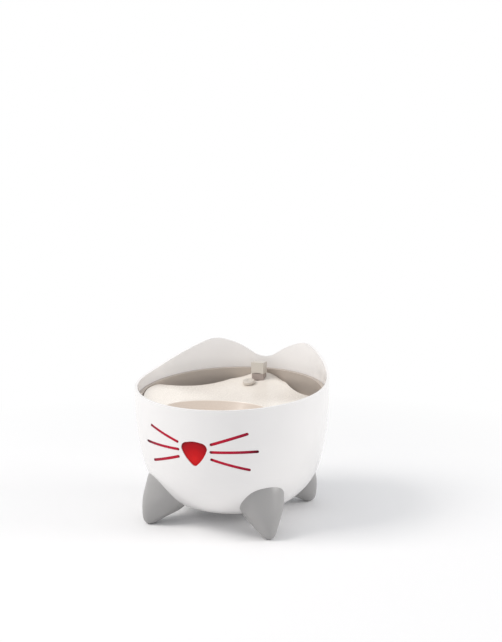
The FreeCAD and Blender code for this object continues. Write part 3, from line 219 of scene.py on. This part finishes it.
# Lamp board and power board: glass-fibre sheet under green solder mask.
# Paler lines stand for the copper runs below it.
BOARD_GREEN = (0.020, 0.16, 0.055)
board_material = moulded("board_green", BOARD_GREEN, 0.30, 1200.0, 0.00002, coat=0.3)
tree = board_material.node_tree
place = tree.nodes.new("ShaderNodeTexCoord")
runs = tree.nodes.new("ShaderNodeTexBrick")
runs.inputs["Scale"].default_value = 160.0
runs.inputs["Mortar Size"].default_value = 0.06
runs.inputs["Color1"].default_value = (*BOARD_GREEN, 1.0)
runs.inputs["Color2"].default_value = (0.018, 0.14, 0.050, 1.0)
runs.inputs["Mortar"].default_value = (0.06, 0.30, 0.11, 1.0)
tree.links.new(place.outputs["Object"], runs.inputs["Vector"])
tree.links.new(runs.outputs["Color"], tree.nodes["grain"].inputs["Tint"])
dress(board_material, "led_board", "power_board")

# Lamp chips: yellow phosphor under clear resin.
# They sit on the lamp board behind the nose lens.
dress(moulded("lamp_yellow", (0.90, 0.78, 0.36), 0.15, 900.0, 0.00002, coat=0.5), "lamp_chips")

# Contacts: gold-plated brass springs on the power board.
# The pins that meet them go through the tank's floor.
dress(moulded("brass", (0.78, 0.57, 0.24), 0.22, 1500.0, 0.00001, metal=1.0), "dock_contacts", "contact_pins")

# Power inlet and the two inner leads: black moulded plastic and soft insulation.
# The leads are duller than the inlet.
dress(moulded("inlet_black", (0.030, 0.030, 0.032), 0.35, 900.0, 0.00004), "power_inlet")
dress(moulded("lead_black", (0.022, 0.022, 0.024), 0.48, 1200.0, 0.00003), "inlet_lead", "led_lead")

# Water tank: satin taupe moulding that lifts out of the shell.
# Only its collar and lip show above the drinking top.
dress(moulded("tank_taupe", (0.52, 0.455, 0.40), 0.34, 800.0, 0.00004, coat=0.08), "water_tank")

# Pump: black mouldings, white impeller, ferrite magnet on a ground ceramic shaft, and rubber bushes,
# cups and contact seals.
dress(moulded("pump_black", (0.028, 0.029, 0.031), 0.42, 900.0, 0.00005), "pump_body", "pump_cover")
dress(moulded("impeller_white", (0.76, 0.76, 0.75), 0.38, 900.0, 0.00003), "impeller")
dress(moulded("magnet", (0.07, 0.07, 0.075), 0.50, 2000.0, 0.00004), "rotor_magnet")
dress(moulded("shaft_ceramic", (0.84, 0.84, 0.81), 0.12, 1500.0, 0.00001), "pump_shaft")
dress(moulded("rubber_black", (0.022, 0.022, 0.022), 0.62, 1400.0, 0.00005),
      "shaft_bushes", "suction_cups", "contact_seals")

# Riser: milky silicone tube, moulded to its bend.
# It leads from the pump's outlet up into the spout post.
dress(moulded("hose_clear", (0.68, 0.70, 0.70), 0.34, 700.0, 0.00003, coat=0.15), "riser_hose")

# Filter case and cartridge frame: light grey mouldings that stand before the pump.
# The frame slides up out of the case with its two layers in it.
dress(moulded("filter_plastic", (0.66, 0.67, 0.69), 0.36, 800.0, 0.00004), "filter_case", "cartridge_frame")

# Carbon pouch: dark non-woven bag of granules, sealed round its edge and along a cross into four pockets.
# It is the front layer of the cartridge and fills its frame.
pouch_low, pouch_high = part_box("carbon_pouch")
pouch_middle = (pouch_low + pouch_high) / 2
LAYER_GAP = Vector((0.0002, 0.0002, 0.0002))
pouch_half = (pouch_high - pouch_low) / 2 - LAYER_GAP
COLUMNS = 57
ROWS = 51
SEAL = 0.05
SEAM_DEPTH = 0.62
EDGE_POWER = 3.2
EDGE_PULL = 0.025


def closed_mesh(name, vertices, faces, body):
    mesh = bpy.data.meshes.new(name)
    mesh.from_pydata(vertices, [], faces)
    mesh.validate()
    mesh.polygons.foreach_set("use_smooth", [True] * len(mesh.polygons))
    piece = bpy.data.objects.new(name, mesh)
    bpy.context.scene.collection.objects.link(piece)
    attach(piece, body)
    return piece


def pouch_point(column, row, front):
    across = -1.0 + 2.0 * column / (COLUMNS - 1)
    up = -1.0 + 2.0 * row / (ROWS - 1)
    fill = math.sqrt(max(0.0, (1.0 - abs(across) ** EDGE_POWER) * (1.0 - abs(up) ** EDGE_POWER)))
    fill *= 1.0 - SEAM_DEPTH * math.exp(-(across / SEAL) ** 2)
    fill *= 1.0 - SEAM_DEPTH * math.exp(-(up / SEAL) ** 2)
    lumps = 0.5 + 0.5 * math.sin(31.0 * across + 4.0 * up) * math.sin(27.0 * up - 5.0 * across)
    fill *= 0.93 + 0.07 * lumps
    pull_x = 1.0 - EDGE_PULL * (1.0 - up ** 4)
    pull_z = 1.0 - EDGE_PULL * (1.0 - across ** 4)
    side = -1.0 if front else 1.0
    return (pouch_middle.x + pouch_half.x * across * pull_x,
            pouch_middle.y + side * pouch_half.y * fill,
            pouch_middle.z + pouch_half.z * up * pull_z)


vertices = []
places = {}
for front in (True, False):
    for row in range(ROWS):
        for column in range(COLUMNS):
            rim = row in (0, ROWS - 1) or column in (0, COLUMNS - 1)
            key = (column, row, True if rim else front)
            if key not in places:
                places[key] = len(vertices)
                vertices.append(pouch_point(column, row, front))
            places[(column, row, front)] = places[key]
faces = []
for front in (True, False):
    for row in range(ROWS - 1):
        for column in range(COLUMNS - 1):
            corners = [places[(column, row, front)], places[(column + 1, row, front)],
                       places[(column + 1, row + 1, front)], places[(column, row + 1, front)]]
            faces.append(corners if front else corners[::-1])
pouch = closed_mesh("carbon_bag", vertices, faces, "cartridge")
pouch_material = moulded("carbon_felt", (0.050, 0.050, 0.052), 0.80, 1800.0, 0.0002)
tree = pouch_material.node_tree
place = tree.nodes.new("ShaderNodeTexCoord")
granules = tree.nodes.new("ShaderNodeTexVoronoi")
granules.inputs["Scale"].default_value = 520.0
lumps = tree.nodes.new("ShaderNodeBump")
lumps.inputs["Strength"].default_value = 0.7
lumps.inputs["Distance"].default_value = 0.0006
lumps.invert = True
tree.links.new(place.outputs["Object"], granules.inputs["Vector"])
tree.links.new(granules.outputs["Distance"], lumps.inputs["Height"])
tree.links.new(lumps.outputs["Normal"], tree.nodes["Bump"].inputs["Normal"])
tree.nodes["Principled BSDF"].inputs["Sheen Weight"].default_value = 0.25
pouch.data.materials.append(pouch_material)
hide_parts("carbon_pouch")

# Foam pad: pale blue-grey open-cell foam, cut square with its edges rounded by handling.
# It lies behind the carbon pouch in the same frame.
foam_low, foam_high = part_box("foam_pad")
foam_middle = (foam_low + foam_high) / 2
foam_half = (foam_high - foam_low) / 2 - LAYER_GAP
FOAM_ROUND = 0.0022
FOAM_CROWN = 0.05
FOAM_PULL = 0.018
FOAM_BLUE = (0.60, 0.66, 0.72)
CUTS = 28
vertices = []
places = {}
faces = []


def foam_corner(direction):
    crown = 1.0 - FOAM_CROWN * (direction[0] ** 2 + direction[2] ** 2) / 2
    pull = 1.0 - FOAM_PULL * (1.0 - direction[0] ** 2 * direction[2] ** 2)
    raw = [direction[0] * foam_half.x * pull,
           direction[1] * foam_half.y * crown,
           direction[2] * foam_half.z * pull]
    inner = [max(-(half - FOAM_ROUND), min(half - FOAM_ROUND, value))
             for half, value in zip((foam_half.x * pull, foam_half.y * crown, foam_half.z * pull), raw)]
    out = Vector(raw) - Vector(inner)
    if out.length > 1e-9:
        out = out.normalized() * FOAM_ROUND
    return foam_middle + Vector(inner) + out


for axis in range(3):
    for side in (-1.0, 1.0):
        for row in range(CUTS):
            for column in range(CUTS):
                corners = []
                for dr, dc in ((0, 0), (0, 1), (1, 1), (1, 0)):
                    flat = (-1.0 + 2.0 * (column + dc) / CUTS, -1.0 + 2.0 * (row + dr) / CUTS)
                    direction = [0.0, 0.0, 0.0]
                    direction[axis] = side
                    direction[(axis + 1) % 3] = flat[0]
                    direction[(axis + 2) % 3] = flat[1]
                    key = tuple(round(value * 1000) for value in direction)
                    if key not in places:
                        places[key] = len(vertices)
                        vertices.append(foam_corner(direction))
                    corners.append(places[key])
                faces.append(corners if side > 0 else corners[::-1])
foam = closed_mesh("foam_block", vertices, faces, "cartridge")
foam_material = moulded("foam_open", FOAM_BLUE, 0.85, 1600.0, 0.0002)
tree = foam_material.node_tree
place = tree.nodes.new("ShaderNodeTexCoord")
cells = tree.nodes.new("ShaderNodeTexVoronoi")
cells.feature = "DISTANCE_TO_EDGE"
cells.inputs["Scale"].default_value = 900.0
# Painted shade: each cell darkens towards its middle, in the open pores.
pore_painted_shade = tree.nodes.new("ShaderNodeMapRange")
pore_painted_shade.inputs["From Max"].default_value = 0.25
pore_painted_shade.inputs["To Min"].default_value = 1.0
pore_painted_shade.inputs["To Max"].default_value = 0.55
shade = tree.nodes.new("ShaderNodeHueSaturation")
shade.inputs["Color"].default_value = (*FOAM_BLUE, 1.0)
tree.links.new(place.outputs["Object"], cells.inputs["Vector"])
tree.links.new(cells.outputs["Distance"], pore_painted_shade.inputs["Value"])
tree.links.new(pore_painted_shade.outputs[0], shade.inputs["Value"])
tree.links.new(shade.outputs[0], tree.nodes["grain"].inputs["Tint"])
foam.data.materials.append(foam_material)
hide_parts("foam_pad")

# Drinking top and flow knob: satin cream mouldings; the top is one flowing plate with the pool in front.
# The pool's wall and floor are darker than the plate, from its edge down: painted shade in the recess.
TOP_CREAM = (0.93, 0.872, 0.80)
POOL_SHADED_CREAM = (0.68, 0.585, 0.505)
POOL_FADE_LOW = 0.1452
POOL_FADE_HIGH = 0.1463
top_material = moulded("top_cream", TOP_CREAM, 0.24, 900.0, 0.00002, coat=0.15)
# Painted shade: the tint darkens below the pool's edge.
pool_painted_shade_mask = band(top_material, "Z", POOL_FADE_LOW, POOL_FADE_HIGH)
painted_light_ramp(top_material, pool_painted_shade_mask, [(0.0, POOL_SHADED_CREAM), (1.0, TOP_CREAM)])
dress(top_material, "drinking_top")
dress(moulded("knob_cream", (0.67, 0.615, 0.55), 0.30, 900.0, 0.00003, coat=0.15), "flow_knob")

# Spout: a mauve-grey post with a lighter grey cap, both satin mouldings.
# The cap lifts off, and the water leaves at its lower front edge.
dress(moulded("post_mauve", (0.42, 0.355, 0.325), 0.34, 900.0, 0.00004), "spout_post")
dress(moulded("spout_grey", (0.66, 0.62, 0.56), 0.30, 900.0, 0.00003, coat=0.1), "spout_cap")

# Floor: a matt white sheet that keeps the soft shadow near the fountain.
# It turns plain white further out, and only where the camera or a reflection sees it.
FLOOR_HALF = 8.0
FLOOR_LEVEL = -0.0002
SHADOW_REACH = 0.16
PLAIN_FROM = 0.75
floor_mesh = bpy.data.meshes.new("floor")
floor_corners = [(-FLOOR_HALF, -FLOOR_HALF), (FLOOR_HALF, -FLOOR_HALF),
                 (FLOOR_HALF, FLOOR_HALF), (-FLOOR_HALF, FLOOR_HALF)]
floor_mesh.from_pydata([(x, y, FLOOR_LEVEL) for x, y in floor_corners], [], [(0, 1, 2, 3)])
floor = bpy.data.objects.new("floor", floor_mesh)
bpy.context.scene.collection.objects.link(floor)
floor_material = bpy.data.materials.new("floor_white")
floor_material.use_nodes = True
tree = floor_material.node_tree
matt = tree.nodes["Principled BSDF"]
matt.inputs["Base Color"].default_value = (0.96, 0.96, 0.965, 1.0)
matt.inputs["Roughness"].default_value = 0.85
matt.inputs["Specular IOR Level"].default_value = 0.1
plain = tree.nodes.new("ShaderNodeEmission")
place = tree.nodes.new("ShaderNodeTexCoord")
distance = tree.nodes.new("ShaderNodeVectorMath")
distance.operation = "LENGTH"
far = tree.nodes.new("ShaderNodeMapRange")
far.inputs["From Min"].default_value = SHADOW_REACH
far.inputs["From Max"].default_value = PLAIN_FROM
path = tree.nodes.new("ShaderNodeLightPath")
seen = tree.nodes.new("ShaderNodeMath")
seen.operation = "MAXIMUM"
share = tree.nodes.new("ShaderNodeMath")
share.operation = "MULTIPLY"
blend = tree.nodes.new("ShaderNodeMixShader")
tree.links.new(place.outputs["Object"], distance.inputs[0])
tree.links.new(distance.outputs["Value"], far.inputs["Value"])
tree.links.new(path.outputs["Is Camera Ray"], seen.inputs[0])
tree.links.new(path.outputs["Is Glossy Ray"], seen.inputs[1])
tree.links.new(far.outputs[0], share.inputs[0])
tree.links.new(seen.outputs[0], share.inputs[1])
tree.links.new(share.outputs[0], blend.inputs[0])
tree.links.new(matt.outputs[0], blend.inputs[1])
tree.links.new(plain.outputs[0], blend.inputs[2])
tree.links.new(blend.outputs[0], tree.nodes["Material Output"].inputs["Surface"])
floor_mesh.materials.append(floor_material)

# Room light: a plain white surround that the camera and reflections see at full strength,
# and that lights the object at a lower, slightly cool level.
world = bpy.data.worlds.new("surround")
bpy.context.scene.world = world
world.use_nodes = True
tree = world.node_tree
tree.nodes.clear()
shown = tree.nodes.new("ShaderNodeBackground")
shown.inputs["Color"].default_value = (1.0, 1.0, 1.0, 1.0)
shown.inputs["Strength"].default_value = 1.0
fill = tree.nodes.new("ShaderNodeBackground")
fill.inputs["Color"].default_value = (0.95, 0.97, 1.0, 1.0)
fill.inputs["Strength"].default_value = 0.58
path = tree.nodes.new("ShaderNodeLightPath")
first = tree.nodes.new("ShaderNodeMath")
first.operation = "MAXIMUM"
second = tree.nodes.new("ShaderNodeMath")
second.operation = "MAXIMUM"
blend = tree.nodes.new("ShaderNodeMixShader")
leave = tree.nodes.new("ShaderNodeOutputWorld")
tree.links.new(path.outputs["Is Camera Ray"], first.inputs[0])
tree.links.new(path.outputs["Is Glossy Ray"], first.inputs[1])
tree.links.new(first.outputs[0], second.inputs[0])
tree.links.new(path.outputs["Is Transmission Ray"], second.inputs[1])
tree.links.new(second.outputs[0], blend.inputs[0])
tree.links.new(fill.outputs[0], blend.inputs[1])
tree.links.new(shown.outputs[0], blend.inputs[2])
tree.links.new(blend.outputs[0], leave.inputs["Surface"])

# Two soft lights: a warm window high on the left, and a weaker one lower on the right.
# Both point at a spot inside the bowl.
LIGHT_AIM = Vector((0.0, 0.0, 0.10))
for name, spot, size, power, colour in (
    ("window", (-1.30, -0.95, 1.80), 1.1, 29.0, (1.0, 0.965, 0.93)),
    ("return", (1.85, 0.45, 0.90), 1.0, 14.0, (1.0, 0.97, 0.95)),
):
    lamp = bpy.data.lights.new(name, "AREA")
    lamp.shape = "SQUARE"
    lamp.size = size
    lamp.energy = power
    lamp.color = colour
    light = bpy.data.objects.new(name, lamp)
    light.location = spot
    light.rotation_euler = (LIGHT_AIM - Vector(spot)).to_track_quat("-Z", "Y").to_euler()
    bpy.context.scene.collection.objects.link(light)

# Camera: a little above the rim and to the right of the nose, as in the photograph.
# It looks past the fountain's top, because the photograph has the fountain in its lower half.
CAMERA_PLACE = (0.4761, -1.1768, 0.4275)
CAMERA_TILT = math.radians(82.01)
CAMERA_TURN = math.radians(20.94)
CAMERA_LENS = 56.87
SENSOR_WIDTH = 36.0
camera_data = bpy.data.cameras.new("camera")
camera_data.lens = CAMERA_LENS
camera_data.sensor_width = SENSOR_WIDTH
camera_data.sensor_fit = "AUTO"
camera = bpy.data.objects.new("camera", camera_data)
camera.location = CAMERA_PLACE
camera.rotation_euler = (CAMERA_TILT, 0.0, CAMERA_TURN)
bpy.context.scene.collection.objects.link(camera)
bpy.context.scene.camera = camera
bpy.context.scene.view_settings.view_transform = "Standard"
